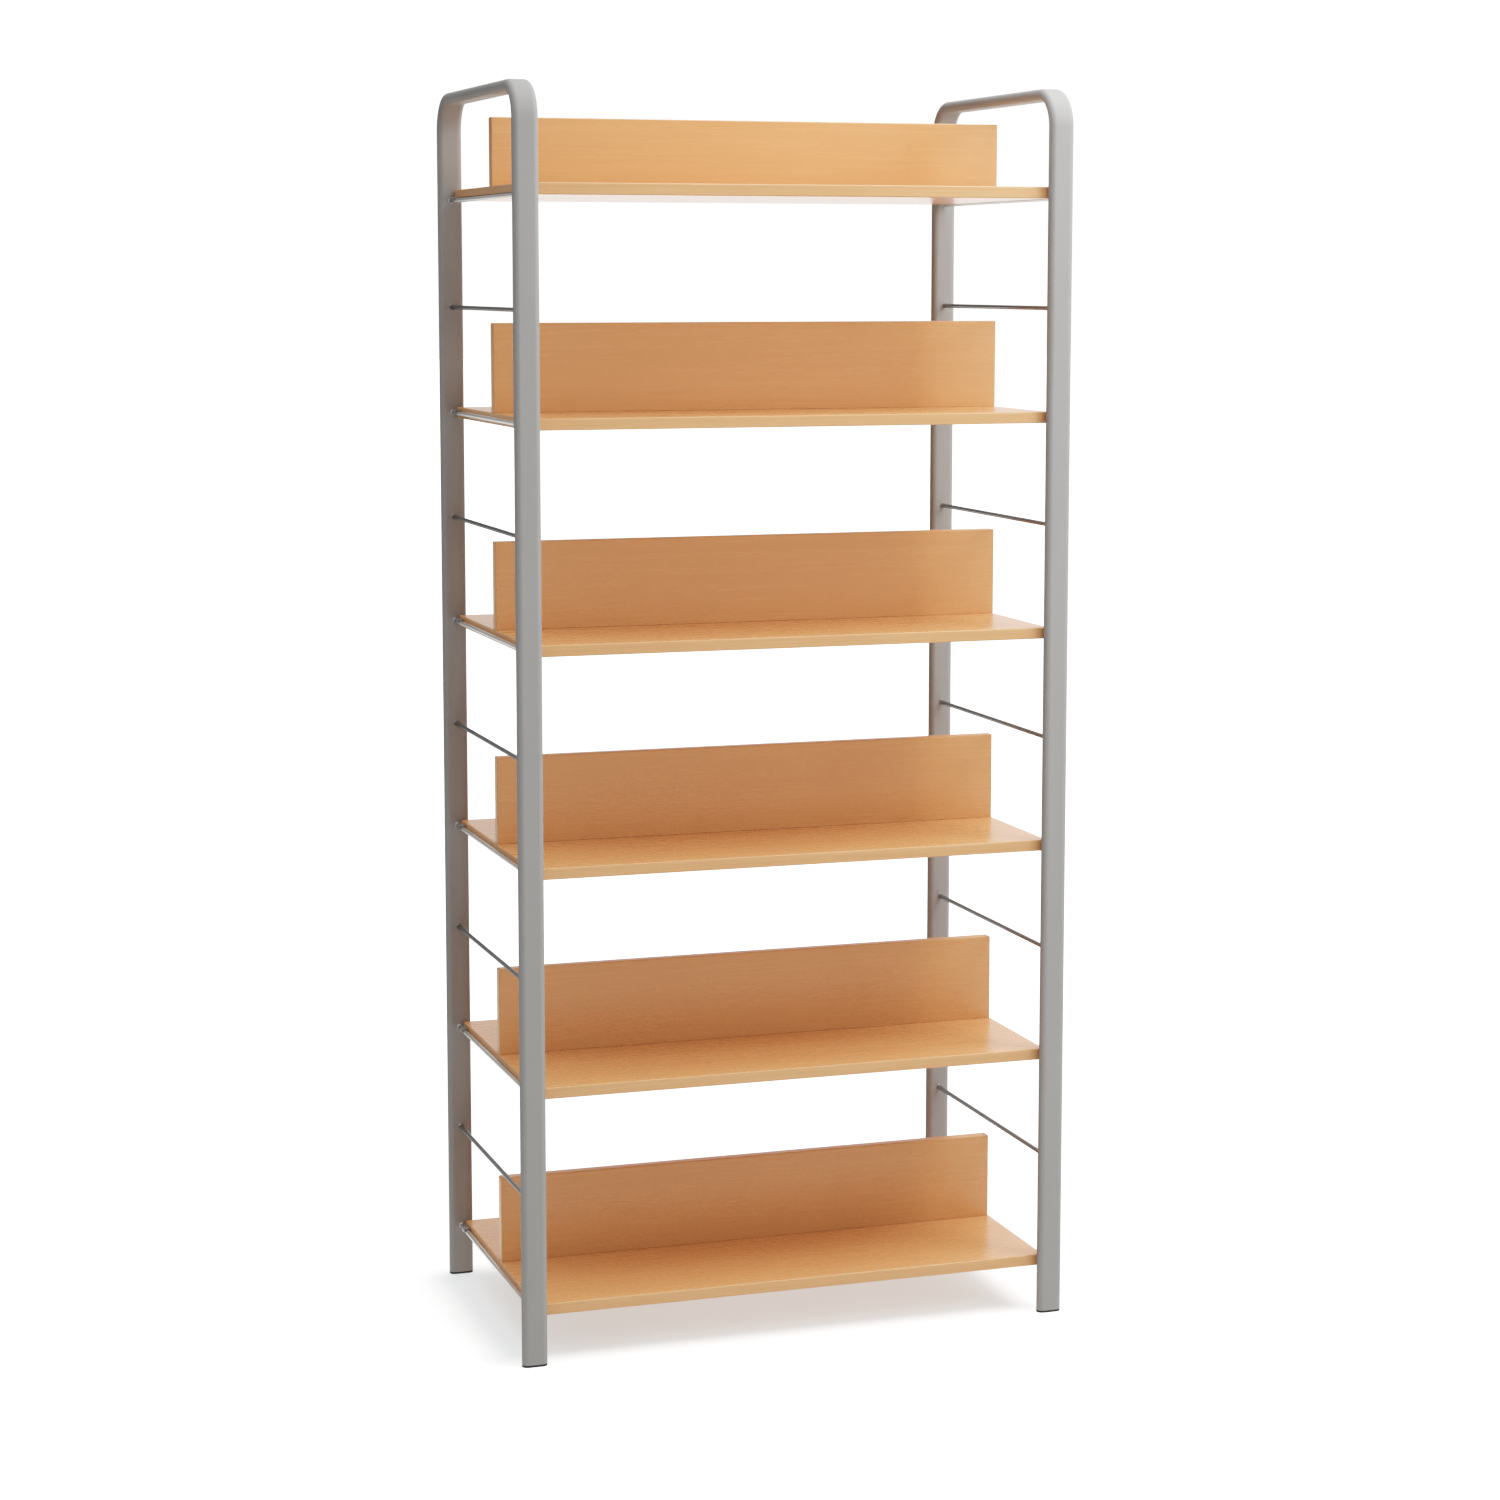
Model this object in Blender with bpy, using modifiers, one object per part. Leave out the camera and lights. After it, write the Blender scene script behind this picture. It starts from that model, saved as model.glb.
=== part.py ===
"""Double-sided bookcase: two flat-oval steel hoop frames with round rungs, and six laminated shelves with a
centre divider, each hung on its rungs by steel strips let into its ends. Metres, +Z up, origin on the floor under the centre."""

import math

import bmesh
import bpy
from mathutils import Matrix

# ---------------------------------------------------------------- driving dimensions (metres)
HEIGHT = 1.953            # floor to the top of the hoops
FRAME_X = 0.428           # centre plane of each hoop, left and right
POST_Y = 0.248            # centre line of the posts, front and back
TUBE_A = 0.040            # flat-oval tube: width across the frame plane (X)
TUBE_B = 0.018            # flat-oval tube: depth in the frame plane
TUBE_WALL = 0.0015
BEND_R = 0.052            # hoop bend radius, on the centre line
FOOT_T = 0.003            # visible flange of the plastic end plug
FOOT_DEEP = 0.022         # plug body inside the tube

RUNG_D = 0.007
RUNG_Z0 = 0.083           # lowest rung
RUNG_PITCH = 0.170        # rung spacing
RUNGS = 11                # rungs in each frame; every second one carries a shelf

SHELF_L = 0.844
SHELF_D = 0.475
DIVIDER_L = 0.841
BOARD_T = 0.018
EDGE_R = 0.001            # rounding of the laminated edges
SHELVES = 6
DIVIDER_H = 0.139         # divider above the shelf top
TOP_DIVIDER_H = 0.1055    # the uppermost one is lower
SEAT = 0.009              # shelf top above its rung's axis
TOP_SEAT = 0.018          # the uppermost shelf sits higher on its rungs

TONGUE_T = 0.005          # loose tongue that joins divider and shelf
TONGUE_DEEP = 0.008       # depth in each board
TONGUE_END = 0.030        # the groove stops short of the board's ends

STEEL_T = 0.0015          # hanger strip
HANGER_LEN = 0.445        # hanger strip, along the shelf's end
HANGER_IN = 0.027         # depth of the strip in the shelf's end
HOOK_W = 0.022
HOOK_Y = 0.2115           # the two hooks of a hanger, front and back of the middle
HOOK_DROP = 0.0015        # the hook's lip ends this far below the rung's axis
HANGER_BEND = 0.0013      # bend radius of the strip, on its centre line

GAP = 0.0003              # between pieces that touch

# ---------------------------------------------------------------- scene
for old in list(bpy.data.objects):
    bpy.data.objects.remove(old, do_unlink=True)

PARTS = bpy.data.collections.new("double_sided_bookcase")
CUTTERS = bpy.data.collections.new("cutters")
bpy.context.scene.collection.children.link(PARTS)
bpy.context.scene.collection.children.link(CUTTERS)


def material(name, colour, roughness, metallic=0.0):
    mat = bpy.data.materials.new(name)
    mat.use_nodes = True
    shader = mat.node_tree.nodes["Principled BSDF"]
    shader.inputs["Base Color"].default_value = (*colour, 1.0)
    shader.inputs["Roughness"].default_value = roughness
    shader.inputs["Metallic"].default_value = metallic
    return mat


def link(obj, mat, parent=None):
    """Puts a finished piece in the parts collection, with its material and its assembly's empty."""
    PARTS.objects.link(obj)
    obj.data.materials.clear()
    obj.data.materials.append(mat)
    if parent:
        obj.parent = parent
        obj.matrix_parent_inverse = Matrix.Translation(-parent.location)
    return obj


def cutter(obj):
    CUTTERS.objects.link(obj)
    obj.hide_render = True
    obj.display_type = "WIRE"
    return obj


def boolean(obj, other, operation="DIFFERENCE"):
    mod = obj.modifiers.new(operation.lower(), "BOOLEAN")
    mod.operation = operation
    mod.object = other
    mod.solver = "EXACT"


def empty(name, location):
    obj = bpy.data.objects.new(name, None)
    obj.location = location
    PARTS.objects.link(obj)
    return obj


# ---------------------------------------------------------------- shapes
def box(name, low, high, sharp_bottom=False, bevel=0.0):
    """A cuboid with its origin at its centre; bevel rounds its edges, but not those of a sharp bottom."""
    size = [h - l for l, h in zip(low, high)]
    bm = bmesh.new()
    bmesh.ops.create_cube(bm, size=1.0)
    bmesh.ops.scale(bm, vec=size, verts=bm.verts)
    if bevel:
        weight = bm.edges.layers.float.new("bevel_weight_edge")
        for edge in bm.edges:
            at_bottom = all(v.co.z < 0 for v in edge.verts)
            edge[weight] = 0.0 if sharp_bottom and at_bottom else 1.0
    mesh = bpy.data.meshes.new(name)
    bm.to_mesh(mesh)
    bm.free()
    obj = bpy.data.objects.new(name, mesh)
    obj.location = [(h + l) / 2 for l, h in zip(low, high)]
    if bevel:
        mod = obj.modifiers.new("edge_rounding", "BEVEL")
        mod.limit_method = "WEIGHT"
        mod.width = bevel
        mod.segments = 2
    return obj


def rod(name, diameter, length, location):
    """A round bar along Y."""
    bm = bmesh.new()
    bmesh.ops.create_cone(bm, cap_ends=True, segments=16, radius1=diameter / 2, radius2=diameter / 2, depth=length)
    mesh = bpy.data.meshes.new(name)
    bm.to_mesh(mesh)
    bm.free()
    mesh.shade_smooth()
    mesh.set_sharp_from_angle(angle=math.radians(40))
    obj = bpy.data.objects.new(name, mesh)
    obj.rotation_euler = (math.radians(90), 0, 0)
    obj.location = location
    return obj


def stadium(width, depth, steps=10):
    """Outline of a flat-oval section, long side along the first axis."""
    r, half = depth / 2, (width - depth) / 2
    right = [(half + r * math.sin(math.pi * i / steps), -r * math.cos(math.pi * i / steps)) for i in range(steps + 1)]
    left = [(-x, -y) for x, y in right]
    return right + left


def curve_of(name, points, closed, dimensions):
    data = bpy.data.curves.new(name, "CURVE")
    data.dimensions = dimensions
    spline = data.splines.new("POLY")
    spline.points.add(len(points) - 1)
    for point, co in zip(spline.points, points):
        point.co = (co[0], co[1], 0.0, 1.0)
    spline.use_cyclic_u = closed
    return data


def mesh_of(name, curve, matrix):
    """The curve as a closed mesh object, with its caps welded on."""
    obj = bpy.data.objects.new(name + "_curve", curve)
    CUTTERS.objects.link(obj)
    bpy.context.view_layer.update()
    graph = bpy.context.evaluated_depsgraph_get()
    mesh = bpy.data.meshes.new_from_object(obj.evaluated_get(graph))
    bpy.data.objects.remove(obj, do_unlink=True)
    mesh.name = name
    bm = bmesh.new()
    bm.from_mesh(mesh)
    bmesh.ops.remove_doubles(bm, verts=bm.verts, dist=1e-6)
    bmesh.ops.recalc_face_normals(bm, faces=bm.faces)
    bm.to_mesh(mesh)
    bm.free()
    made = bpy.data.objects.new(name, mesh)
    made.matrix_world = matrix
    return made


def plate(name, outline, thickness, matrix):
    """A flat outline extruded to both sides of its own plane."""
    data = curve_of(name, outline, True, "2D")
    data.fill_mode = "BOTH"
    data.extrude = thickness / 2
    return mesh_of(name, data, matrix)


def hoop_path(foot_z):
    """Centre line of the inverted U, as (depth, height), from the front foot to the back foot."""
    top = HEIGHT - TUBE_B / 2
    steps = 8
    side = [(-POST_Y, foot_z), (-POST_Y, top - BEND_R - 0.004)]
    for i in range(steps + 1):
        turn = math.pi / 2 * i / steps
        side.append((-POST_Y + BEND_R * (1 - math.cos(turn)), top - BEND_R + BEND_R * math.sin(turn)))
    side.append((-POST_Y + BEND_R + 0.004, top))
    return side + [(-y, z) for y, z in reversed(side)]


def hoop_bar(name, width, depth, foot_z, x):
    """A flat-oval bar along the hoop's path."""
    outline = [(v, u) for u, v in stadium(width, depth)]
    section = bpy.data.objects.new(name + "_section", curve_of(name + "_section", outline, True, "2D"))
    CUTTERS.objects.link(section)
    section.hide_render = True
    path = curve_of(name, hoop_path(foot_z), False, "3D")
    path.twist_mode = "Z_UP"
    path.bevel_mode = "OBJECT"
    path.bevel_object = section
    path.use_fill_caps = True
    # The path's own plane becomes the YZ plane at this x.
    turn = Matrix(((0, 0, 1, x), (1, 0, 0, 0), (0, 1, 0, 0), (0, 0, 0, 1)))
    made = mesh_of(name, path, turn)
    bpy.data.objects.remove(section, do_unlink=True)
    return made


def strip_outline(points, radius, thickness, steps=4):
    """Outline of a bent strip: its centre line's corners rounded, then offset to both sides."""
    line = [points[0]]
    for before, corner, after in zip(points, points[1:], points[2:]):
        into = (corner[0] - before[0], corner[1] - before[1])
        out = (after[0] - corner[0], after[1] - corner[1])
        a = [c / math.hypot(*into) for c in into]
        b = [c / math.hypot(*out) for c in out]
        turn = a[0] * b[1] - a[1] * b[0]
        side = 1.0 if turn > 0 else -1.0
        centre = (corner[0] - radius * a[0] - side * radius * a[1], corner[1] - radius * a[1] + side * radius * a[0])
        start = math.atan2(corner[1] - radius * a[1] - centre[1], corner[0] - radius * a[0] - centre[0])
        for i in range(steps + 1):
            angle = start + side * math.pi / 2 * i / steps
            line.append((centre[0] + radius * math.cos(angle), centre[1] + radius * math.sin(angle)))
    line.append(points[-1])
    left, right = [], []
    for i, point in enumerate(line):
        before, after = line[max(i - 1, 0)], line[min(i + 1, len(line) - 1)]
        along = (after[0] - before[0], after[1] - before[1])
        size = math.hypot(*along)
        n = (-along[1] / size * thickness / 2, along[0] / size * thickness / 2)
        left.append((point[0] + n[0], point[1] + n[1]))
        right.append((point[0] - n[0], point[1] - n[1]))
    return left + right[::-1]


def upright(x, y, z):
    """Matrix of a plate whose outline is drawn in X and Z, and which is thick along Y."""
    return Matrix.Translation((x, y, z)) @ Matrix.Rotation(math.radians(90), 4, "X")


def level(x, y, z):
    return Matrix.Translation((x, y, z))


# ---------------------------------------------------------------- materials
SILVER = material("silver_painted_steel", (0.42, 0.42, 0.43), 0.42, 0.55)
RUNG_STEEL = material("silver_painted_rung", (0.44, 0.44, 0.45), 0.38, 0.55)
BEECH = material("beech_laminate_shelf", (0.62, 0.36, 0.17), 0.45)
BEECH_DIVIDER = material("beech_laminate_divider", (0.60, 0.34, 0.16), 0.45)
PLYWOOD = material("plywood_tongue", (0.55, 0.38, 0.22), 0.7)
ZINC = material("zinc_plated_hanger", (0.55, 0.56, 0.57), 0.35, 0.9)
BLACK = material("dark_plastic_plug", (0.03, 0.03, 0.032), 0.5)

# ---------------------------------------------------------------- frames
rung_z = [RUNG_Z0 + RUNG_PITCH * i for i in range(RUNGS)]
tube_foot = FOOT_T + GAP

for side, sign in (("left", -1), ("right", 1)):
    x = sign * FRAME_X
    hoop = hoop_bar(side + "_hoop", TUBE_A, TUBE_B, tube_foot, x)
    bore = hoop_bar(side + "_hoop_bore", TUBE_A - 2 * TUBE_WALL, TUBE_B - 2 * TUBE_WALL, tube_foot - 0.02, x)
    boolean(hoop, cutter(bore))
    hoop.data.shade_smooth()
    hoop.data.set_sharp_from_angle(angle=math.radians(40))
    link(hoop, SILVER)
    for i, z in enumerate(rung_z):
        length = 2 * (POST_Y - TUBE_B / 2 - GAP)
        link(rod(f"{side}_rung_{i + 1:02d}", RUNG_D, length, (x, 0, z)), RUNG_STEEL)
    for end, y in (("front", -POST_Y), ("back", POST_Y)):
        name = f"{side}_{end}_foot_plug"
        plug = plate(name, stadium(TUBE_A, TUBE_B), FOOT_T, level(x, y, FOOT_T / 2))
        inside = 2 * (TUBE_WALL + GAP)
        height = FOOT_DEEP + FOOT_T / 2
        core = plate(name + "_core", stadium(TUBE_A - inside, TUBE_B - inside), height, level(x, y, FOOT_T / 2 + height / 2))
        boolean(plug, cutter(core), "UNION")
        link(plug, BLACK)

# ---------------------------------------------------------------- shelves
for n in range(1, SHELVES + 1):
    uppermost = n == SHELVES
    axis_z = rung_z[2 * (n - 1)]
    top = axis_z + (TOP_SEAT if uppermost else SEAT)
    under = top - BOARD_T
    assembly = empty(f"shelf_{n}", (0, 0, axis_z))

    board = box(f"shelf_{n}_board", (-SHELF_L / 2, -SHELF_D / 2, under), (SHELF_L / 2, SHELF_D / 2, top), bevel=EDGE_R)
    foot = top + GAP
    rise = top + (TOP_DIVIDER_H if uppermost else DIVIDER_H)
    divider = box(f"shelf_{n}_divider", (-DIVIDER_L / 2, -BOARD_T / 2, foot), (DIVIDER_L / 2, BOARD_T / 2, rise), True, EDGE_R)

    # The loose tongue lies in a stopped groove in each board.
    half = DIVIDER_L / 2 - TONGUE_END
    tongue = box(f"shelf_{n}_tongue", (-half + GAP, -TONGUE_T / 2, top - TONGUE_DEEP), (half - GAP, TONGUE_T / 2, foot + TONGUE_DEEP))
    room = TONGUE_T / 2 + GAP
    groove = cutter(box(f"shelf_{n}_groove", (-half, -room, top - TONGUE_DEEP - GAP), (half, room, foot + TONGUE_DEEP + GAP)))
    boolean(board, groove)
    boolean(divider, groove)

    for side, sign in (("left", -1), ("right", 1)):
        name = f"shelf_{n}_{side}_hanger"
        end = SHELF_L / 2
        seat = FRAME_X                                    # the rung's axis
        lip = seat - RUNG_D / 2 - GAP - STEEL_T / 2
        crown = axis_z + RUNG_D / 2 + GAP + STEEL_T / 2
        nose = seat + RUNG_D / 2 + GAP + STEEL_T / 2
        # The strip lies in a kerf in the shelf's end: at half thickness, or level with the hook in the uppermost shelf.
        kerf = crown if uppermost else under + BOARD_T / 2
        riser = [] if uppermost else [(lip, kerf), (lip, crown)]
        line = [(end - HANGER_IN, kerf)] + riser + [(nose, crown), (nose, axis_z - HOOK_DROP)]
        outline = [(sign * px, pz) for px, pz in strip_outline(line, HANGER_BEND, STEEL_T)]
        hanger = plate(name, outline, HANGER_LEN, upright(0, 0, 0))
        # The strip is cut away beyond the shelf's end, except for the two hooks.
        edge = end - 0.001
        for i, (low, high) in enumerate(((-HANGER_LEN, -HOOK_Y - HOOK_W / 2), (-HOOK_Y + HOOK_W / 2, HOOK_Y - HOOK_W / 2), (HOOK_Y + HOOK_W / 2, HANGER_LEN))):
            xs = sorted((sign * edge, sign * (end + 0.05)))
            boolean(hanger, cutter(box(f"{name}_cut_{i}", (xs[0], low, axis_z - 0.05), (xs[1], high, axis_z + 0.05))))
        link(hanger, ZINC, assembly)
        xs = sorted((sign * (end - HANGER_IN - GAP), sign * (end + 0.005)))
        kerf_y, room = HANGER_LEN / 2 + GAP, STEEL_T / 2 + GAP
        boolean(board, cutter(box(f"{name}_kerf", (xs[0], -kerf_y, kerf - room), (xs[1], kerf_y, kerf + room))))

    link(board, BEECH, assembly)
    link(divider, BEECH_DIVIDER, assembly)
    link(tongue, PLYWOOD, assembly)
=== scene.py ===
"""Double-sided bookcase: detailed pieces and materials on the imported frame, with a pale floor and soft studio light."""
import math

import bmesh
import bpy
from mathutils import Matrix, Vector


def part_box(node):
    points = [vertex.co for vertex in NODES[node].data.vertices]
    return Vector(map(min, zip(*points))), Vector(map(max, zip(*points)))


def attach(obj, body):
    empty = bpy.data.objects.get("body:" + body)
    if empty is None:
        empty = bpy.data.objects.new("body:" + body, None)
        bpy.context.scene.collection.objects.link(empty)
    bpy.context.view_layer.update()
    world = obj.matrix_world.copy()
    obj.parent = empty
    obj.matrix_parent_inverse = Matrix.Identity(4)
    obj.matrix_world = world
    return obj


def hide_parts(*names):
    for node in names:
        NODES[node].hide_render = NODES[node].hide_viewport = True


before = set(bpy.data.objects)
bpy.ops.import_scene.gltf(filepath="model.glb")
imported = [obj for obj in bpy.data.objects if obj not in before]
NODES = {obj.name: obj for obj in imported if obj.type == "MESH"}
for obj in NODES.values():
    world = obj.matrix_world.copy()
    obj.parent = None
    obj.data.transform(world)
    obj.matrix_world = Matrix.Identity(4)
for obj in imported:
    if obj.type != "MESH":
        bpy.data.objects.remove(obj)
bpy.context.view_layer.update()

# ---------------------------------------------------------------- dimensions of the frame (metres)
TUBE_A, TUBE_B, TUBE_WALL = 0.040, 0.018, 0.0015
BEND_R = 0.052
RUNG_R = 0.0035
BAND = 0.002              # thickness of the edge band, which is also the rounding of its edges
SEAM = 0.00012            # depth of the fine joint between band and face
GAP = 0.0003
SHELVES = range(1, 7)
BODY_OF = {n: "frame" if n in (1, 6) else f"shelf_{n}" for n in SHELVES}


# ---------------------------------------------------------------- mesh helpers
def piece(name, bm, mats, body, nodes=(), sharp=35.0):
    """A finished piece: it rides on a body, names its finish and stands for its CAD nodes."""
    mesh = bpy.data.meshes.new(name)
    bmesh.ops.recalc_face_normals(bm, faces=bm.faces)
    bm.to_mesh(mesh)
    bm.free()
    mesh.shade_smooth()
    mesh.set_sharp_from_angle(angle=math.radians(sharp))
    for mat in mats:
        mesh.materials.append(mat)
    obj = bpy.data.objects.new(name, mesh)
    bpy.context.scene.collection.objects.link(obj)
    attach(obj, body)
    if nodes:
        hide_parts(*nodes)
    return obj


def loft(bm, rings, closed=False, first_cap=False, last_cap=False, mat_of=None):
    """Quads between rings of equal length; mat_of(i) is the material of the band after ring i."""
    rows = [[bm.verts.new(p) for p in ring] for ring in rings]
    count = len(rows[0])
    pairs = list(zip(rows, rows[1:]))
    if closed:
        pairs.append((rows[-1], rows[0]))
    for i, (a, b) in enumerate(pairs):
        for k in range(count):
            m = (k + 1) % count
            face = bm.faces.new((a[k], a[m], b[m], b[k]))
            if mat_of:
                face.material_index = mat_of(i)
    if first_cap:
        bm.faces.new(rows[0])
    if last_cap:
        bm.faces.new(rows[-1])
    return rows


def boxes(bm, *corners):
    for low, high in corners:
        made = bmesh.ops.create_cube(bm, size=1.0)["verts"]
        for v in made:
            v.co = Vector([(l + h) / 2 + c * (h - l) for l, h, c in zip(low, high, v.co)])


def cut(obj, corners):
    """Cuts grooves and kerfs out of a piece, and keeps the result as its own mesh."""
    bm = bmesh.new()
    boxes(bm, *corners)
    tool_mesh = bpy.data.meshes.new("cut")
    bm.to_mesh(tool_mesh)
    bm.free()
    tool = bpy.data.objects.new("cut", tool_mesh)
    bpy.context.scene.collection.objects.link(tool)
    mod = obj.modifiers.new("cut", "BOOLEAN")
    mod.operation, mod.solver, mod.object = "DIFFERENCE", "EXACT", tool
    bpy.context.view_layer.update()
    graph = bpy.context.evaluated_depsgraph_get()
    done = bpy.data.meshes.new_from_object(obj.evaluated_get(graph), preserve_all_data_layers=True, depsgraph=graph)
    old = obj.data
    obj.modifiers.clear()
    done.name = old.name + "_cut"
    obj.data = done
    bpy.data.meshes.remove(old)
    bpy.data.objects.remove(tool, do_unlink=True)
    bpy.data.meshes.remove(tool_mesh)
    done.set_sharp_from_angle(angle=math.radians(35))


def flat_oval(width, depth, steps, hold=0.0004):
    """Section of the tube: two half circles and two flats, with a holding point just inside each tangent."""
    r, half = depth / 2, (width - depth) / 2
    right = [(half + r * math.sin(math.pi * i / steps), -r * math.cos(math.pi * i / steps)) for i in range(steps + 1)]
    right = [(half - hold, -r)] + right + [(half - hold, r)]
    return right + [(-u, -v) for u, v in right]


# ---------------------------------------------------------------- node helpers
class Net:
    """Short calls for building one material's nodes."""

    def __init__(self, name):
        self.mat = bpy.data.materials.new(name)
        self.mat.use_nodes = True
        self.tree = self.mat.node_tree
        self.shader = self.tree.nodes["Principled BSDF"]
        self.coord = self.tree.nodes.new("ShaderNodeTexCoord")

    def put(self, socket, value):
        if isinstance(value, bpy.types.NodeSocket):
            self.tree.links.new(value, socket)
        else:
            socket.default_value = value

    def set(self, name, value):
        self.put(self.shader.inputs[name], value)

    def math(self, op, a, b=0.0, c=0.0, clamp=False):
        node = self.tree.nodes.new("ShaderNodeMath")
        node.operation, node.use_clamp = op, clamp
        for socket, value in zip(node.inputs, (a, b, c)):
            self.put(socket, value)
        return node.outputs[0]

    def vec(self, op, a, b=(0, 0, 0)):
        node = self.tree.nodes.new("ShaderNodeVectorMath")
        node.operation = op
        self.put(node.inputs[0], a)
        self.put(node.inputs[1], b)
        return node.outputs[0]

    def xyz(self, vector):
        node = self.tree.nodes.new("ShaderNodeSeparateXYZ")
        self.put(node.inputs[0], vector)
        return node.outputs

    def join(self, x, y, z):
        node = self.tree.nodes.new("ShaderNodeCombineXYZ")
        for socket, value in zip(node.inputs, (x, y, z)):
            self.put(socket, value)
        return node.outputs[0]

    def noise(self, vector, scale, detail=2.0, rough=0.5, distortion=0.0):
        node = self.tree.nodes.new("ShaderNodeTexNoise")
        node.noise_dimensions = "3D"
        self.put(node.inputs["Vector"], vector)
        node.inputs["Scale"].default_value = scale
        node.inputs["Detail"].default_value = detail
        node.inputs["Roughness"].default_value = rough
        node.inputs["Distortion"].default_value = distortion
        return node.outputs["Fac"]

    def cells(self, vector, scale, feature="F1", output="Distance", rand=1.0):
        node = self.tree.nodes.new("ShaderNodeTexVoronoi")
        node.feature = feature
        self.put(node.inputs["Vector"], vector)
        node.inputs["Scale"].default_value = scale
        node.inputs["Randomness"].default_value = rand
        return node.outputs[output]

    def ramp(self, fac, stops):
        node = self.tree.nodes.new("ShaderNodeValToRGB")
        ramp = node.color_ramp
        while len(ramp.elements) < len(stops):
            ramp.elements.new(0.5)
        for element, (pos, colour) in zip(ramp.elements, stops):
            element.position = pos
            element.color = (*colour, 1.0) if not isinstance(colour, float) else (colour, colour, colour, 1.0)
        self.put(node.inputs[0], fac)
        return node.outputs[0]

    def span(self, value, a, b, c, d, smooth=False):
        node = self.tree.nodes.new("ShaderNodeMapRange")
        node.interpolation_type = "SMOOTHSTEP" if smooth else "LINEAR"
        for socket, v in zip(node.inputs[:5], (value, a, b, c, d)):
            self.put(socket, v)
        return node.outputs[0]

    def mix(self, fac, a, b, blend="MIX"):
        node = self.tree.nodes.new("ShaderNodeMix")
        node.data_type, node.blend_type = "RGBA", blend
        self.put(node.inputs["Factor"], fac)
        for socket, value in zip((s for s in node.inputs if s.type == "RGBA"), (a, b)):
            self.put(socket, (*value, 1.0) if isinstance(value, tuple) else value)
        return next(s for s in node.outputs if s.type == "RGBA")

    def bump(self, height, distance, strength=1.0, below=None):
        node = self.tree.nodes.new("ShaderNodeBump")
        node.inputs["Strength"].default_value = strength
        node.inputs["Distance"].default_value = distance
        self.put(node.inputs["Height"], height)
        if below is not None:
            self.put(node.inputs["Normal"], below)
        return node.outputs[0]

    def own_place(self, spread=(3.1, 1.7, 2.3)):
        """Object coordinates, moved by a different amount for each piece, so that no two boards are alike."""
        info = self.tree.nodes.new("ShaderNodeObjectInfo")
        shift = self.vec("MULTIPLY", self.join(info.outputs["Random"], info.outputs["Random"], info.outputs["Random"]), tuple(s * 10 for s in spread))
        return self.vec("ADD", self.coord.outputs["Object"], shift)


# ---------------------------------------------------------------- materials
def laminate(name, deep, mid, pale, flecked, roughness):
    """Beech-pattern laminate on the faces of a board: grain along X."""
    n = Net(name)
    place = n.own_place()
    bands = n.noise(n.vec("MULTIPLY", place, (0.7, 16.0, 16.0)), 1.0, 3.0, 0.55, 0.35)
    veins = n.noise(n.vec("MULTIPLY", place, (3.0, 85.0, 85.0)), 1.0, 3.0, 0.6, 0.4)
    fibre = n.noise(n.vec("MULTIPLY", place, (14.0, 620.0, 620.0)), 1.0, 2.0, 0.6)
    flecks = n.noise(n.vec("MULTIPLY", place, (110.0, 900.0, 900.0)), 1.0, 1.0, 0.5)
    fleck = n.span(flecks, 0.60, 0.72, 0.0, 1.0, True)
    tone = n.math("ADD", n.math("MULTIPLY", bands, 0.50), n.math("ADD", n.math("MULTIPLY", veins, 0.33), n.math("MULTIPLY", fibre, 0.17)))
    colour = n.ramp(tone, [(0.30, deep), (0.50, mid), (0.70, pale)])
    colour = n.mix(n.math("MULTIPLY", fleck, flecked), colour, tuple(c * 0.62 for c in deep), "MIX")
    n.set("Base Color", colour)
    n.set("Roughness", n.math("ADD", n.math("MULTIPLY", veins, 0.08), n.math("ADD", n.math("MULTIPLY", fleck, 0.05), roughness - 0.04)))
    n.set("Specular IOR Level", 0.5)
    height = n.math("ADD", n.math("MULTIPLY", fibre, 0.6), n.math("MULTIPLY", fleck, -0.8))
    n.set("Normal", n.bump(height, 0.00003, 0.4))
    return n.mat


def edge_band(name, deep, mid, pale, roughness):
    """Matching edge band: plainer and paler than the faces, with streaks along its own length."""
    n = Net(name)
    place = n.own_place((1.3, 2.9, 0.7))
    facing = n.math("ABSOLUTE", n.xyz(n.coord.outputs["Normal"])[0])
    at_end = n.math("GREATER_THAN", facing, 0.7071)
    p = n.xyz(place)
    length = n.mix(at_end, n.join(p[0], p[0], p[0]), n.join(p[1], p[1], p[1]))
    across = n.math("ADD", p[2], n.math("MULTIPLY", n.math("SUBTRACT", 1.0, at_end), p[1]))
    run = n.join(n.math("MULTIPLY", length, 1.0), across, 0.0)
    streak = n.noise(n.vec("MULTIPLY", run, (5.0, 420.0, 1.0)), 1.0, 3.0, 0.6)
    broad = n.noise(n.vec("MULTIPLY", run, (1.4, 60.0, 1.0)), 1.0, 2.0, 0.5)
    tone = n.math("ADD", n.math("MULTIPLY", streak, 0.6), n.math("MULTIPLY", broad, 0.4))
    colour = n.ramp(tone, [(0.32, deep), (0.5, mid), (0.68, pale)])
    knocks = n.noise(n.vec("MULTIPLY", place, (60.0, 60.0, 240.0)), 1.0, 4.0, 0.65)
    knock = n.span(knocks, 0.66, 0.74, 0.0, 1.0, True)
    colour = n.mix(n.math("MULTIPLY", knock, 0.35), colour, tuple(c * 0.7 for c in deep))
    n.set("Base Color", colour)
    n.set("Roughness", n.math("ADD", n.math("MULTIPLY", streak, 0.12), n.math("ADD", n.math("MULTIPLY", knock, 0.12), roughness - 0.06)))
    n.set("Normal", n.bump(n.math("SUBTRACT", streak, knock), 0.00005, 0.6))
    return n.mat


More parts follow.
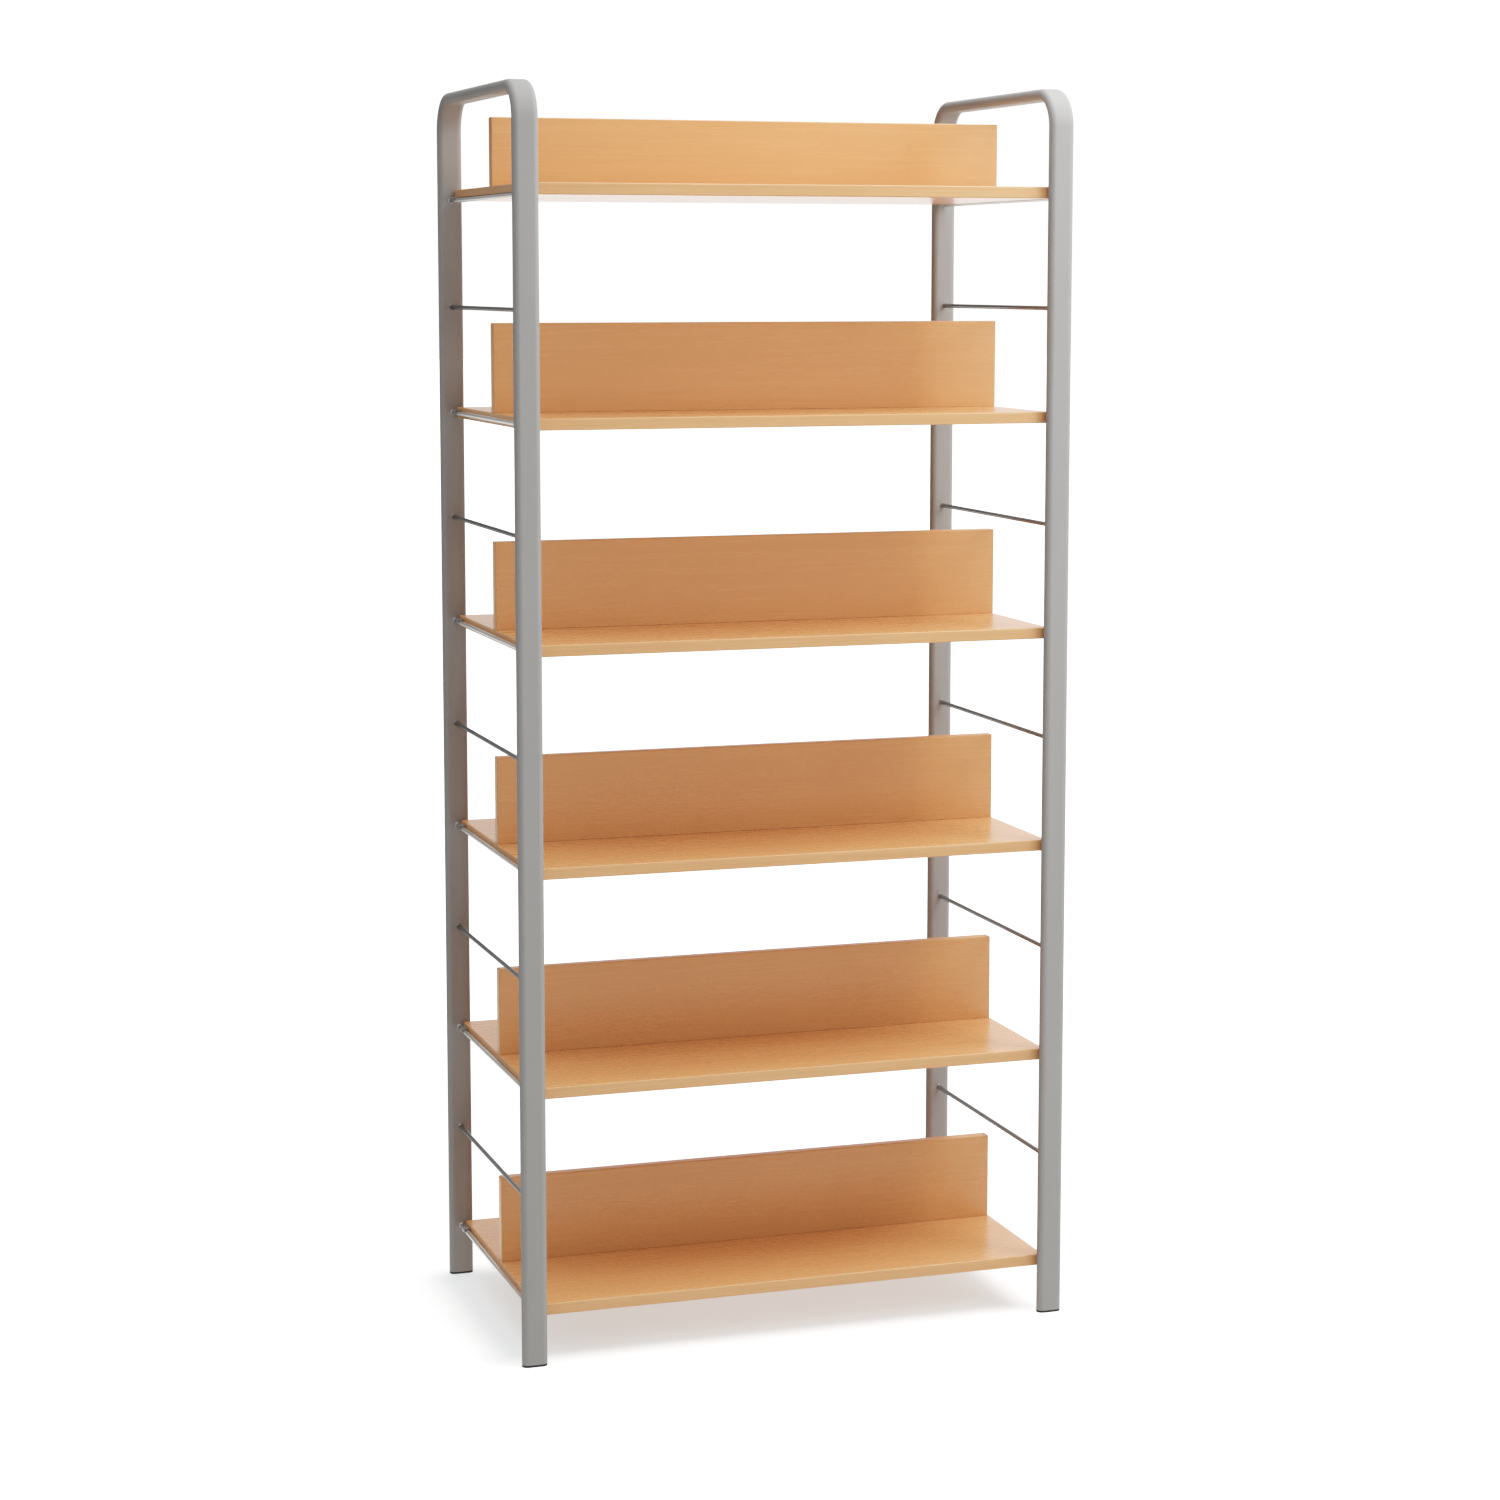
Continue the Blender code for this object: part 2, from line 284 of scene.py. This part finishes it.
def silver(name, tone, roughness, metallic, rim, painted_sheen=None):
    """Silver-grey metallic paint: fine flake, orange peel, and rubbed places, more of them towards the floor."""
    n = Net(name)
    obj = n.coord.outputs["Object"]
    flake = n.cells(obj, 2600.0, "F1", "Color")
    flake = n.xyz(flake)[0]
    cloud = n.noise(n.vec("MULTIPLY", obj, (9.0, 9.0, 3.0)), 1.0, 3.0, 0.55)
    peel = n.noise(obj, 420.0, 2.0, 0.5)
    low = n.span(n.xyz(obj)[2], 0.0, 0.35, 1.0, 0.25, True)
    rub = n.noise(n.vec("MULTIPLY", obj, (38.0, 38.0, 12.0)), 1.0, 6.0, 0.68)
    rub = n.math("MULTIPLY", n.span(rub, 0.60, 0.72, 0.0, 1.0, True), low)
    scratch = n.noise(n.vec("MULTIPLY", obj, (900.0, 900.0, 26.0)), 1.0, 2.0, 0.5)
    scratch = n.math("MULTIPLY", n.span(scratch, 0.66, 0.74, 0.0, 1.0, True), low)
    amount = n.math("ADD", n.math("MULTIPLY", flake, 0.30), n.math("MULTIPLY", cloud, 0.70))
    dark, light = tuple(c * 0.92 for c in tone), tuple(c * 1.08 for c in tone)
    colour = n.mix(amount, dark, light)
    colour = n.mix(n.math("MULTIPLY", rub, 0.20), colour, tuple(c * 0.72 for c in tone))
    edge = (rim, rim, rim, 1.0)
    if painted_sheen:
        # Every second rung, from the lowest, carries a shelf; these rungs get a lighter colour and a brighter specular
        # tint, a painted sheen for the reflection they catch.
        turn = n.math("FRACT", n.math("DIVIDE", n.math("ADD", n.xyz(obj)[2], 0.002), 0.34))
        bears = n.math("LESS_THAN", turn, 0.5)
        colour = n.mix(bears, colour, n.mix(amount, tuple(c * 0.93 for c in painted_sheen), painted_sheen))
        edge = n.mix(bears, (rim, rim, rim), (0.9, 0.9, 0.9))
    n.set("Base Color", colour)
    n.set("Metallic", metallic)
    n.set("Specular IOR Level", 0.06)
    n.set("Specular Tint", edge)
    rough = n.math("ADD", n.math("MULTIPLY", flake, 0.05), n.math("MULTIPLY", cloud, 0.06))
    rough = n.math("ADD", rough, n.math("MULTIPLY", rub, 0.10))
    n.set("Roughness", n.math("ADD", rough, roughness - 0.055))
    height = n.math("ADD", n.math("MULTIPLY", peel, 1.0), n.math("MULTIPLY", scratch, -0.7))
    n.set("Normal", n.bump(height, 0.00005, 0.35))
    return n.mat


def plastic(name):
    """Dark moulded plastic, finely grained, scuffed grey where it stands on the floor."""
    n = Net(name)
    obj = n.coord.outputs["Object"]
    grain = n.cells(obj, 1500.0)
    cloud = n.noise(obj, 60.0, 4.0, 0.6)
    scuff = n.span(n.noise(n.vec("MULTIPLY", obj, (160.0, 160.0, 500.0)), 1.0, 5.0, 0.65), 0.56, 0.70, 0.0, 1.0, True)
    near = n.span(n.xyz(obj)[2], 0.0, 0.003, 1.0, 0.15)
    scuff = n.math("MULTIPLY", scuff, near)
    colour = n.ramp(cloud, [(0.3, (0.018, 0.018, 0.019)), (0.7, (0.034, 0.034, 0.036))])
    n.set("Base Color", n.mix(n.math("MULTIPLY", scuff, 0.4), colour, (0.12, 0.118, 0.115)))
    n.set("Roughness", n.math("ADD", n.math("MULTIPLY", cloud, 0.15), n.math("ADD", n.math("MULTIPLY", scuff, 0.2), 0.42)))
    n.set("Normal", n.bump(n.math("SUBTRACT", 1.0, grain), 0.00008, 0.5))
    return n.mat


def zinc(name):
    """Zinc-plated strip: small dull crystals and rolling streaks along Y."""
    n = Net(name)
    obj = n.coord.outputs["Object"]
    crystal = n.xyz(n.cells(n.vec("MULTIPLY", obj, (1.0, 0.7, 1.0)), 420.0, "F1", "Color"))[0]
    streak = n.noise(n.vec("MULTIPLY", obj, (900.0, 18.0, 900.0)), 1.0, 3.0, 0.6)
    cloud = n.noise(obj, 70.0, 3.0, 0.6)
    tone = n.math("ADD", n.math("MULTIPLY", crystal, 0.35), n.math("ADD", n.math("MULTIPLY", streak, 0.35), n.math("MULTIPLY", cloud, 0.30)))
    n.set("Base Color", n.ramp(tone, [(0.25, (0.30, 0.31, 0.33)), (0.55, (0.41, 0.42, 0.43)), (0.8, (0.50, 0.50, 0.49))]))
    n.set("Metallic", 0.9)
    n.set("Roughness", n.math("ADD", n.math("MULTIPLY", crystal, 0.14), n.math("ADD", n.math("MULTIPLY", cloud, 0.16), 0.34)))
    n.set("Normal", n.bump(n.math("ADD", streak, crystal), 0.00003, 0.5))
    return n.mat


def plywood(name):
    """Raw plywood strip: plies across its thickness, open grain on its faces."""
    n = Net(name)
    obj = n.coord.outputs["Object"]
    ply = n.math("SINE", n.math("MULTIPLY", n.xyz(obj)[1], 2 * math.pi / 0.0025))
    grain = n.noise(n.vec("MULTIPLY", obj, (9.0, 700.0, 380.0)), 1.0, 4.0, 0.6)
    tone = n.math("ADD", n.math("MULTIPLY", ply, 0.16), grain)
    n.set("Base Color", n.ramp(tone, [(0.25, (0.33, 0.19, 0.09)), (0.5, (0.50, 0.33, 0.18)), (0.75, (0.62, 0.45, 0.27))]))
    n.set("Roughness", n.span(grain, 0.2, 0.8, 0.6, 0.85))
    n.set("Normal", n.bump(grain, 0.0002, 0.6))
    return n.mat


SHELF_FACE = laminate("shelf_laminate", (0.700, 0.348, 0.152), (0.72, 0.364, 0.161), (0.738, 0.379, 0.170), 0.10, 0.27)
DIVIDER_FACE = laminate("divider_laminate", (0.695, 0.344, 0.150), (0.72, 0.364, 0.161), (0.743, 0.383, 0.172), 0.12, 0.27)
SHELF_BAND = edge_band("shelf_edge_band", (0.64, 0.325, 0.144), (0.70, 0.375, 0.173), (0.745, 0.420, 0.205), 0.36)
DIVIDER_BAND = edge_band("divider_edge_band", (0.64, 0.320, 0.138), (0.70, 0.370, 0.166), (0.745, 0.415, 0.198), 0.36)
FRAME_PAINT = silver("silver_frame_paint", (0.346, 0.343, 0.336), 0.50, 0.06, 1.0)
# the last colour is a painted sheen on the rungs that carry shelves
RUNG_PAINT = silver("silver_rung_paint", (0.51, 0.515, 0.518), 0.31, 0.92, 0.32, (0.86, 0.855, 0.84))
PLUG_PLASTIC = plastic("dark_plug_plastic")
HOOK_ZINC = zinc("zinc_hook_strip")
PLYWOOD = plywood("plywood_tongue")


# ---------------------------------------------------------------- hoops: hollow flat-oval tube, bent twice
def hoop_stations(foot, post_y, top):
    """(y, z, across-y, across-z) along the centre line, from the front foot over the top to the back foot."""
    start = top - BEND_R
    side = [(-post_y, z, -1.0, 0.0) for z in (foot, foot + 0.0004, foot + 0.02, foot + 0.6, foot + 1.2, start - 0.02, start - 0.0015)]
    for i in range(25):
        a = math.pi / 2 * i / 24
        side.append((-post_y + BEND_R * (1 - math.cos(a)), start + BEND_R * math.sin(a), -math.cos(a), math.sin(a)))
    side += [(-post_y + BEND_R + 0.0015, top, 0.0, 1.0), (-post_y + BEND_R + 0.02, top, 0.0, 1.0), (0.0, top, 0.0, 1.0)]
    return side + [(-y, z, -ny, nz) for y, z, ny, nz in reversed(side[:-1])]


for hand in ("left", "right"):
    low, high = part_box(f"{hand}_hoop")
    x = (low.x + high.x) / 2
    line = hoop_stations(low.z, high.y - TUBE_B / 2, high.z - TUBE_B / 2)
    last = len(line) - 1
    outer, inner = [], []
    for i, (y, z, ny, nz) in enumerate(line):
        trim = 0.0006 if i in (0, last) else 0.0
        outer.append([(x + u, y + ny * v, z + nz * v) for u, v in flat_oval(TUBE_A - trim, TUBE_B - trim, 18)])
        inner.append([(x + u, y + ny * v, z + nz * v) for u, v in flat_oval(TUBE_A - 2 * TUBE_WALL, TUBE_B - 2 * TUBE_WALL, 18)])
    bm = bmesh.new()
    loft(bm, outer + inner[::-1], closed=True)
    piece(f"{hand}_hoop_tube", bm, [FRAME_PAINT], "frame", [f"{hand}_hoop"])


# ---------------------------------------------------------------- rungs: round bars with a weld fillet at each post
def rung(name, node):
    low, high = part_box(node)
    x, z, reach = (low.x + high.x) / 2, (low.z + high.z) / 2, high.y + GAP + 0.0002
    sides = 32
    weld = 0.0030
    places = [0.0, 0.0003, 0.0007, 0.0012, 0.0018, 0.0024, weld, weld + 0.0006, 0.02]
    profile = [(-reach + s, s) for s in places] + [(reach - s, s) for s in reversed(places)]
    rings = []
    for y, s in profile:
        swell = max(0.0, 1 - s / weld) ** 2
        ring = []
        for k in range(sides):
            a = 2 * math.pi * k / sides
            bead = 0.00012 * math.sin(11 * a + 2000 * s) * min(1.0, 6 * swell) * (1 if s > 0 else 0)
            r = RUNG_R + 0.0014 * swell + bead
            ring.append((x + r * math.cos(a), y, z + r * math.sin(a)))
        rings.append(ring)
    bm = bmesh.new()
    loft(bm, rings, first_cap=True, last_cap=True)
    return piece(name, bm, [RUNG_PAINT], "frame", [node], sharp=50.0)


for hand in ("left", "right"):
    for i in range(1, 12):
        rung(f"{hand}_rung_bar_{i:02d}", f"{hand}_rung_{i:02d}")


# ---------------------------------------------------------------- foot plugs: rounded flange, ribbed core in the tube
def plug(name, node):
    low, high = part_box(node)
    x, y, rise = (low.x + high.x) / 2, (low.y + high.y) / 2, high.z
    flange = 0.003
    inside = 2 * (TUBE_WALL + GAP)
    rows = [(0.0030, 0.00045), (0.0016, 0.0001), (0.0004, 0.0), (0.0, 0.0003), (0.0, 0.0009), (0.0, 0.0022), (0.0002, 0.0027), (0.0007, flange)]
    rows += [(inside, flange), (inside + 0.0012, flange + 0.0004)]
    step = (rise - flange - 0.003) / 4
    for k in range(4):
        z = flange + 0.0014 + k * step
        rows += [(inside + 0.0012, z), (inside + 0.0001, z + 0.0005), (inside + 0.0001, z + 0.0011), (inside + 0.0012, z + 0.0022)]
    rows += [(inside + 0.0014, rise - 0.0004), (inside + 0.0024, rise)]
    rings = [[(x + u, y + v, low.z + z) for u, v in flat_oval(TUBE_A - trim, TUBE_B - trim, 14)] for trim, z in rows]
    bm = bmesh.new()
    loft(bm, rings, first_cap=True, last_cap=True)
    return piece(name, bm, [PLUG_PLASTIC], "frame", [node])


for hand in ("left", "right"):
    for end in ("front", "back"):
        plug(f"{hand}_{end}_foot_cap", f"{hand}_{end}_foot_plug")


# ---------------------------------------------------------------- boards: laminated faces and a rounded edge band
def band_profile(thickness):
    """(inset, depth from the first face, belongs to the band) across a board's edge, face to face."""
    rows = [(0.012, 0.0, False), (BAND + 0.0006, 0.0, False), (BAND + 0.00012, 0.0, False), (BAND, SEAM, True), (BAND - 0.00012, 0.00001, True)]
    for i in range(1, 7):
        a = math.pi / 2 * i / 6
        rows.append((BAND * (1 - math.sin(a)) * 0.94, BAND * (1 - math.cos(a)), True))
    rows.append((0.0, BAND + 0.0004, True))
    back = [(inset, thickness - depth, band) for inset, depth, band in reversed(rows)]
    # a band of quads takes its material from the row it starts at
    return rows, back


def board(n):
    node = f"shelf_{n}_board"
    low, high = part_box(node)
    half_x, half_y, thick = (high.x - low.x) / 2, (high.y - low.y) / 2, high.z - low.z
    rows, back = band_profile(thick)
    rings, in_band = [], []
    for inset, depth, band in rows + back:
        hx, hy, r = half_x - inset, half_y - inset, max(0.0022 - inset, 0.0003)
        ring = []
        for cx, cy, turn in ((1, 1, 0), (-1, 1, 90), (-1, -1, 180), (1, -1, 270)):
            ox, oy = cx * (hx - r), cy * (hy - r)
            arc = [(ox + r * math.cos(math.radians(turn + a)), oy + r * math.sin(math.radians(turn + a))) for a in (0, 18, 36, 54, 72, 90)]
            holds = [(cx * hx, oy - cy * 0.0006), (ox - cx * 0.0006, cy * hy)]
            before, after = holds if turn in (0, 180) else holds[::-1]
            ring += [before] + arc + [after]
        rings.append([(px, py, high.z - depth) for px, py in ring])
        in_band.append(band)
    bm = bmesh.new()
    loft(bm, rings, first_cap=True, last_cap=True, mat_of=lambda i: 1 if in_band[i] and in_band[i + 1] else 0)
    obj = piece(f"shelf_{n}_panel", bm, [SHELF_FACE, SHELF_BAND], BODY_OF[n], [node])
    cuts = [groove_of(n)]
    for hand in ("left", "right"):
        a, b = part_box(f"shelf_{n}_{hand}_hanger")
        level, deep = hanger_level(n), min(abs(a.x), abs(b.x)) - GAP
        xs = sorted((math.copysign(deep, a.x), math.copysign(half_x + 0.005, a.x)))
        cuts.append(((xs[0], a.y - GAP, level - STRIP_T / 2 - GAP), (xs[1], b.y + GAP, level + STRIP_T / 2 + GAP)))
    cut(obj, cuts)
    return obj


def groove_of(n):
    low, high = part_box(f"shelf_{n}_tongue")
    grow = Vector((GAP, GAP, GAP))
    return tuple(low - grow), tuple(high + grow)


STRIP_T = 0.0015
BEND_C = 0.0013


def hanger_level(n):
    """Height of the strip in the shelf's end."""
    low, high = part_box(f"shelf_{n}_board")
    if n == 6:
        rung_low, rung_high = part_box("left_rung_11")
        return rung_high.z + GAP + STRIP_T / 2
    return (low.z + high.z) / 2


def divider(n):
    node = f"shelf_{n}_divider"
    low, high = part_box(node)
    half_x, thick = (high.x - low.x) / 2, high.y - low.y
    rows, back = band_profile(thick)
    rings, in_band = [], []
    for inset, depth, band in rows + back:
        hx, top, r = half_x - inset, high.z - inset, max(0.0022 - inset, 0.0003)
        right = [(hx, low.z), (hx, low.z + 0.0006), (hx, top - r - 0.0006)]
        right += [(hx - r + r * math.cos(math.radians(a)), top - r + r * math.sin(math.radians(a))) for a in (0, 18, 36, 54, 72, 90)]
        right += [(hx - r - 0.0006, top)]
        outline = right + [(-px, pz) for px, pz in reversed(right)]
        rings.append([(px, low.y + depth, pz) for px, pz in outline])
        in_band.append(band)
    bm = bmesh.new()
    loft(bm, rings, first_cap=True, last_cap=True, mat_of=lambda i: 1 if in_band[i] and in_band[i + 1] else 0)
    obj = piece(f"shelf_{n}_divider_panel", bm, [DIVIDER_FACE, DIVIDER_BAND], BODY_OF[n], [node])
    cut(obj, [groove_of(n)])
    return obj


# ---------------------------------------------------------------- hangers: folded strip with two hooks
def hanger(n, hand):
    node = f"shelf_{n}_{hand}_hanger"
    sign = -1 if hand == "left" else 1
    low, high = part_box(node)
    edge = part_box(f"shelf_{n}_board")[1].x - 0.001
    rung_low, rung_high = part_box(f"{hand}_rung_{2 * n - 1:02d}")
    seat, axis = abs(rung_low.x + rung_high.x) / 2, (rung_low.z + rung_high.z) / 2
    inner = min(abs(low.x), abs(high.x))
    level = hanger_level(n)
    lip, nose = seat - RUNG_R - GAP - STRIP_T / 2, seat + RUNG_R + GAP + STRIP_T / 2
    crown = axis + RUNG_R + GAP + STRIP_T / 2
    corners = [(edge, level)] + ([] if n == 6 else [(lip, level), (lip, crown)]) + [(nose, crown), (nose, axis - 0.0015)]
    line = []
    for before, corner, after in zip(corners, corners[1:], corners[2:]):
        a = [(c - b) / math.dist(before, corner) for b, c in zip(before, corner)]
        b = [(c - d) / math.dist(corner, after) for c, d in zip(after, corner)]
        side = 1.0 if a[0] * b[1] - a[1] * b[0] > 0 else -1.0
        centre = (corner[0] - BEND_C * a[0] - side * BEND_C * a[1], corner[1] - BEND_C * a[1] + side * BEND_C * a[0])
        start = math.atan2(corner[1] - BEND_C * a[1] - centre[1], corner[0] - BEND_C * a[0] - centre[0])
        line += [(centre[0] + BEND_C * math.cos(start + side * math.pi / 2 * k / 6), centre[1] + BEND_C * math.sin(start + side * math.pi / 2 * k / 6)) for k in range(7)]
    tip = corners[-1]
    line += [(tip[0], tip[1] + 0.0008), tip]
    width, reach = 0.022, high.y
    hooks = ((-reach, -reach + width), (reach - width, reach))
    across = [-reach, -reach + 0.0015, -reach + width - 0.0015, -reach + width, 0.0, reach - width, reach - width + 0.0015, reach - 0.0015, reach]
    bm = bmesh.new()
    grid = [[bm.verts.new((sign * px, y, level)) for y in across] for px in (inner, inner + 0.012, edge)]
    for a, b in zip(grid, grid[1:]):
        for k in range(len(across) - 1):
            bm.faces.new((a[k], a[k + 1], b[k + 1], b[k]))
    for first in (0, 5):
        row = grid[-1][first:first + 4]
        for j, (px, pz) in enumerate(line):
            ends = [v.co.y for v in row]
            ys = [across[first + k] for k in range(4)]
            if j == len(line) - 1:                       # the tip's corners are rounded off
                ys[0], ys[3] = ys[0] + 0.0009, ys[3] - 0.0009
            fresh = [bm.verts.new((sign * px, y, pz)) for y in ys]
            for k in range(3):
                bm.faces.new((row[k], row[k + 1], fresh[k + 1], fresh[k]))
            row = fresh
    obj = piece(f"shelf_{n}_{hand}_hook_strip", bm, [HOOK_ZINC], BODY_OF[n], [node], sharp=60.0)
    solid = obj.modifiers.new("thickness", "SOLIDIFY")
    solid.thickness, solid.offset, solid.use_even_offset = STRIP_T, 0.0, True
    ease = obj.modifiers.new("edges", "BEVEL")
    ease.width, ease.segments, ease.limit_method, ease.angle_limit = 0.0002, 2, "ANGLE", math.radians(50)
    return obj


for n in SHELVES:
    board(n)
    divider(n)
    for hand in ("left", "right"):
        hanger(n, hand)
    tongue = NODES[f"shelf_{n}_tongue"]
    tongue.data.materials.clear()
    tongue.data.materials.append(PLYWOOD)


# ---------------------------------------------------------------- floor, light and camera
def floor_material(name, tone, glow):
    """Pale matt floor with a faint glow of its own; glow(net, place) gives the glow's colour and strength, and a shade."""
    n = Net(name)
    place = n.coord.outputs["Object"]
    mottle = n.noise(place, 2.0, 4.0, 0.6)
    colour, strength, shade = glow(n, place)
    n.set("Base Color", n.math("MULTIPLY", n.span(mottle, 0.3, 0.7, tone * 0.98, tone * 1.02), shade))
    n.set("Roughness", 0.9)
    n.set("Specular IOR Level", 0.0)
    n.set("Emission Color", colour)
    n.set("Emission Strength", strength)
    return n.mat


def glow_with_painted_shadow(n, place):
    """Least under the part, a painted shadow there with a cool tint against the warm shade, more beside it and most far
    away, where the floor runs out to white.
    """
    x, y, _ = n.xyz(n.vec("ADD", place, (0.035, -0.015, 0.0)))
    past_x = n.math("MAXIMUM", n.math("SUBTRACT", n.math("ABSOLUTE", x), 0.405), 0.0)
    past_y = n.math("MAXIMUM", n.math("SUBTRACT", n.math("ABSOLUTE", y), 0.205), 0.0)
    past = n.math("SQRT", n.math("ADD", n.math("POWER", past_x, 2.0), n.math("POWER", past_y, 2.0)))
    # a cooler tint inside the footprint, painted so that the painted shadow does not turn warm
    colour = n.mix(n.span(past, 0.0, 0.05, 0.0, 1.0, True), (0.79, 1.0, 1.09), (0.97, 1.0, 1.01))
    return colour, n.math("ADD", n.span(past, 0.0, 0.085, 0.24, 0.62, True), n.span(past, 0.2, 3.0, 0.0, 0.45, True)), 1.0


def glow_behind(n, place, most=0.75):
    """Most towards the back right of the studio, less on the left and hardly any towards the back left."""
    x, y, _ = n.xyz(place)
    back = n.math("MULTIPLY", n.span(y, 0.8, 4.0, 0.0, 1.0, True), n.span(x, -0.6, 0.9, 0.0, 1.0, True))
    dark = n.math("MULTIPLY", n.span(y, 0.1, 1.3, 0.0, 1.0, True), n.span(x, -0.9, 0.2, 1.0, 0.0, True))
    shade = n.math("SUBTRACT", 1.0, n.math("MULTIPLY", dark, 0.92))
    strength = n.math("ADD", n.math("MULTIPLY", back, most), n.span(x, -1.4, 0.1, 0.16, 0.32, True))
    return (1.0, 0.96, 0.91, 1.0), n.math("MULTIPLY", strength, shade), shade


def glow_shine(n, place):
    """The same, dimmer towards the back right and with a pale strip towards the back left, as cards laid there would give."""
    colour, strength, shade = glow_behind(n, place, 0.75)
    x, y, _ = n.xyz(place)
    strip = n.math("MULTIPLY", n.span(x, -0.5, -0.3, 1.0, 0.0, True), n.span(y, 0.0, 0.5, 0.0, 1.0, True))
    strip = n.math("MULTIPLY", strip, n.span(n.math("ADD", x, n.math("MULTIPLY", y, 0.36)), -1.1, -0.6, 0.0, 1.0, True))
    calm = n.math("MULTIPLY", n.span(y, 0.2, 0.9, 0.0, 0.65, True), n.span(x, -0.25, 0.1, 0.0, 1.0, True))
    calm = n.math("SUBTRACT", 1.0, n.math("MULTIPLY", calm, n.span(y, 2.6, 4.6, 1.0, 0.0, True)))
    strength = n.math("MULTIPLY", strength, calm)
    return colour, n.math("ADD", strength, n.math("MULTIPLY", strip, 0.7)), n.math("MULTIPLY", shade, calm)


def floor_plane(name, z, mat):
    bm = bmesh.new()
    bmesh.ops.create_grid(bm, x_segments=8, y_segments=8, size=60.0)
    mesh = bpy.data.meshes.new(name)
    bm.to_mesh(mesh)
    bm.free()
    mesh.materials.append(mat)
    obj = bpy.data.objects.new(name, mesh)
    bpy.context.scene.collection.objects.link(obj)
    obj.location.z = z
    return obj


# The floor that is seen is nearly white. The light it throws back on the part comes from a greyer one just under it,
# and what shines reflects a third.
# the seen floor glows least in the part's footprint: a painted shadow under the part
floor = floor_plane("floor", 0.0, floor_material("pale_floor", 0.84, glow_with_painted_shadow))
floor.visible_diffuse = floor.visible_glossy = floor.visible_shadow = False
under = floor_plane("floor_bounce", -0.001, floor_material("floor_bounce", 0.31, glow_behind))
under.visible_camera = under.visible_glossy = False
shine = floor_plane("floor_shine", -0.0005, floor_material("floor_shine", 0.31, glow_shine))
shine.visible_camera = shine.visible_diffuse = shine.visible_shadow = False

world = bpy.data.worlds.new("studio")
bpy.context.scene.world = world
world.use_nodes = True
tree = world.node_tree
tree.nodes.clear()


def wnode(kind, *values, **settings):
    node = tree.nodes.new(kind)
    for key, value in settings.items():
        setattr(node, key, value)
    for socket, value in zip(node.inputs, values):
        if isinstance(value, bpy.types.NodeSocket):
            tree.links.new(value, socket)
        elif value is not None:
            socket.default_value = value
    return node


def wmath(op, a, b=0.0):
    return wnode("ShaderNodeMath", a, b, operation=op).outputs[0]


# soft glow of the studio's walls: (direction, level), each fading out to the sides
GLOW = [((0.0, 0.0, 1.0), 1.36), ((0.6, 0.8, 0.12), 0.75), ((1.0, 0.0, 0.2), 0.08), ((-1.0, 0.0, 0.4), 0.17), ((0.0, -1.0, 0.2), 0.06)]
toward = wnode("ShaderNodeTexCoord").outputs["Generated"]
level = 0.03
for way, amount in GLOW:
    along = wnode("ShaderNodeVectorMath", toward, tuple(Vector(way).normalized()), operation="DOT_PRODUCT").outputs["Value"]
    level = wmath("ADD", level, wmath("MULTIPLY", wmath("POWER", wmath("MAXIMUM", along, 0.0), 4.0), amount))
soft = wnode("ShaderNodeBackground", (1.0, 1.0, 1.0, 1.0), level)
white = wnode("ShaderNodeBackground", (1.0, 1.0, 1.0, 1.0), 1.05)
seen = wnode("ShaderNodeLightPath").outputs["Is Camera Ray"]
both = wnode("ShaderNodeMixShader", seen, soft.outputs[0], white.outputs[0])
wnode("ShaderNodeOutputWorld", both.outputs[0])


def softbox(name, place, aim, size, power):
    """A rectangular light; without an aim it lies flat and shines down."""
    data = bpy.data.lights.new(name, "AREA")
    data.shape, data.size, data.size_y = "RECTANGLE", size[0], size[1]
    data.energy = power
    lamp = bpy.data.objects.new(name, data)
    bpy.context.scene.collection.objects.link(lamp)
    lamp.location = place
    if aim:
        lamp.rotation_euler = (Vector(aim) - Vector(place)).to_track_quat("-Z", "Y").to_euler()
    lamp.visible_camera = False
    return lamp


softbox("overhead_panel", (1.7, -0.7, 3.2), None, (3.2, 1.8), 30.0)
softbox("corner_panel", (1.5, -1.3, 2.5), (0.2, 0.0, 1.2), (0.8, 0.8), 8.4)
softbox("front_panel", (0.4, -3.6, 3.2), (0.0, 0.0, 1.0), (1.6, 1.0), 8.4)
softbox("right_panel", (2.2, -2.4, 1.9), (0.0, 0.0, 1.1), (1.2, 1.8), 9.5)

camera_data = bpy.data.cameras.new("camera")
camera_data.sensor_width, camera_data.lens = 36.0, 77.67
camera_data.shift_y = -0.055
camera_data.clip_start, camera_data.clip_end = 0.1, 200.0
camera = bpy.data.objects.new("camera", camera_data)
bpy.context.scene.collection.objects.link(camera)
camera.location = (-1.6135, -4.9230, 1.6625)
camera.rotation_euler = (math.radians(90 - 6.889), 0.0, math.radians(-18.164))
bpy.context.scene.camera = camera

# a film-like response: steeper in the shade, flatter towards white
view = bpy.context.scene.view_settings
view.view_transform = "Standard"
view.use_curve_mapping = True
film = view.curve_mapping
film.extend = "HORIZONTAL"
curve = film.curves[3]
for x in (0.01, 0.025, 0.05, 0.09, 0.14, 0.2, 0.28, 0.38, 0.5, 0.64, 0.8):
    curve.points.new(x, 1.3 * x ** 1.3 / (x ** 1.3 + 0.3))
film.update()
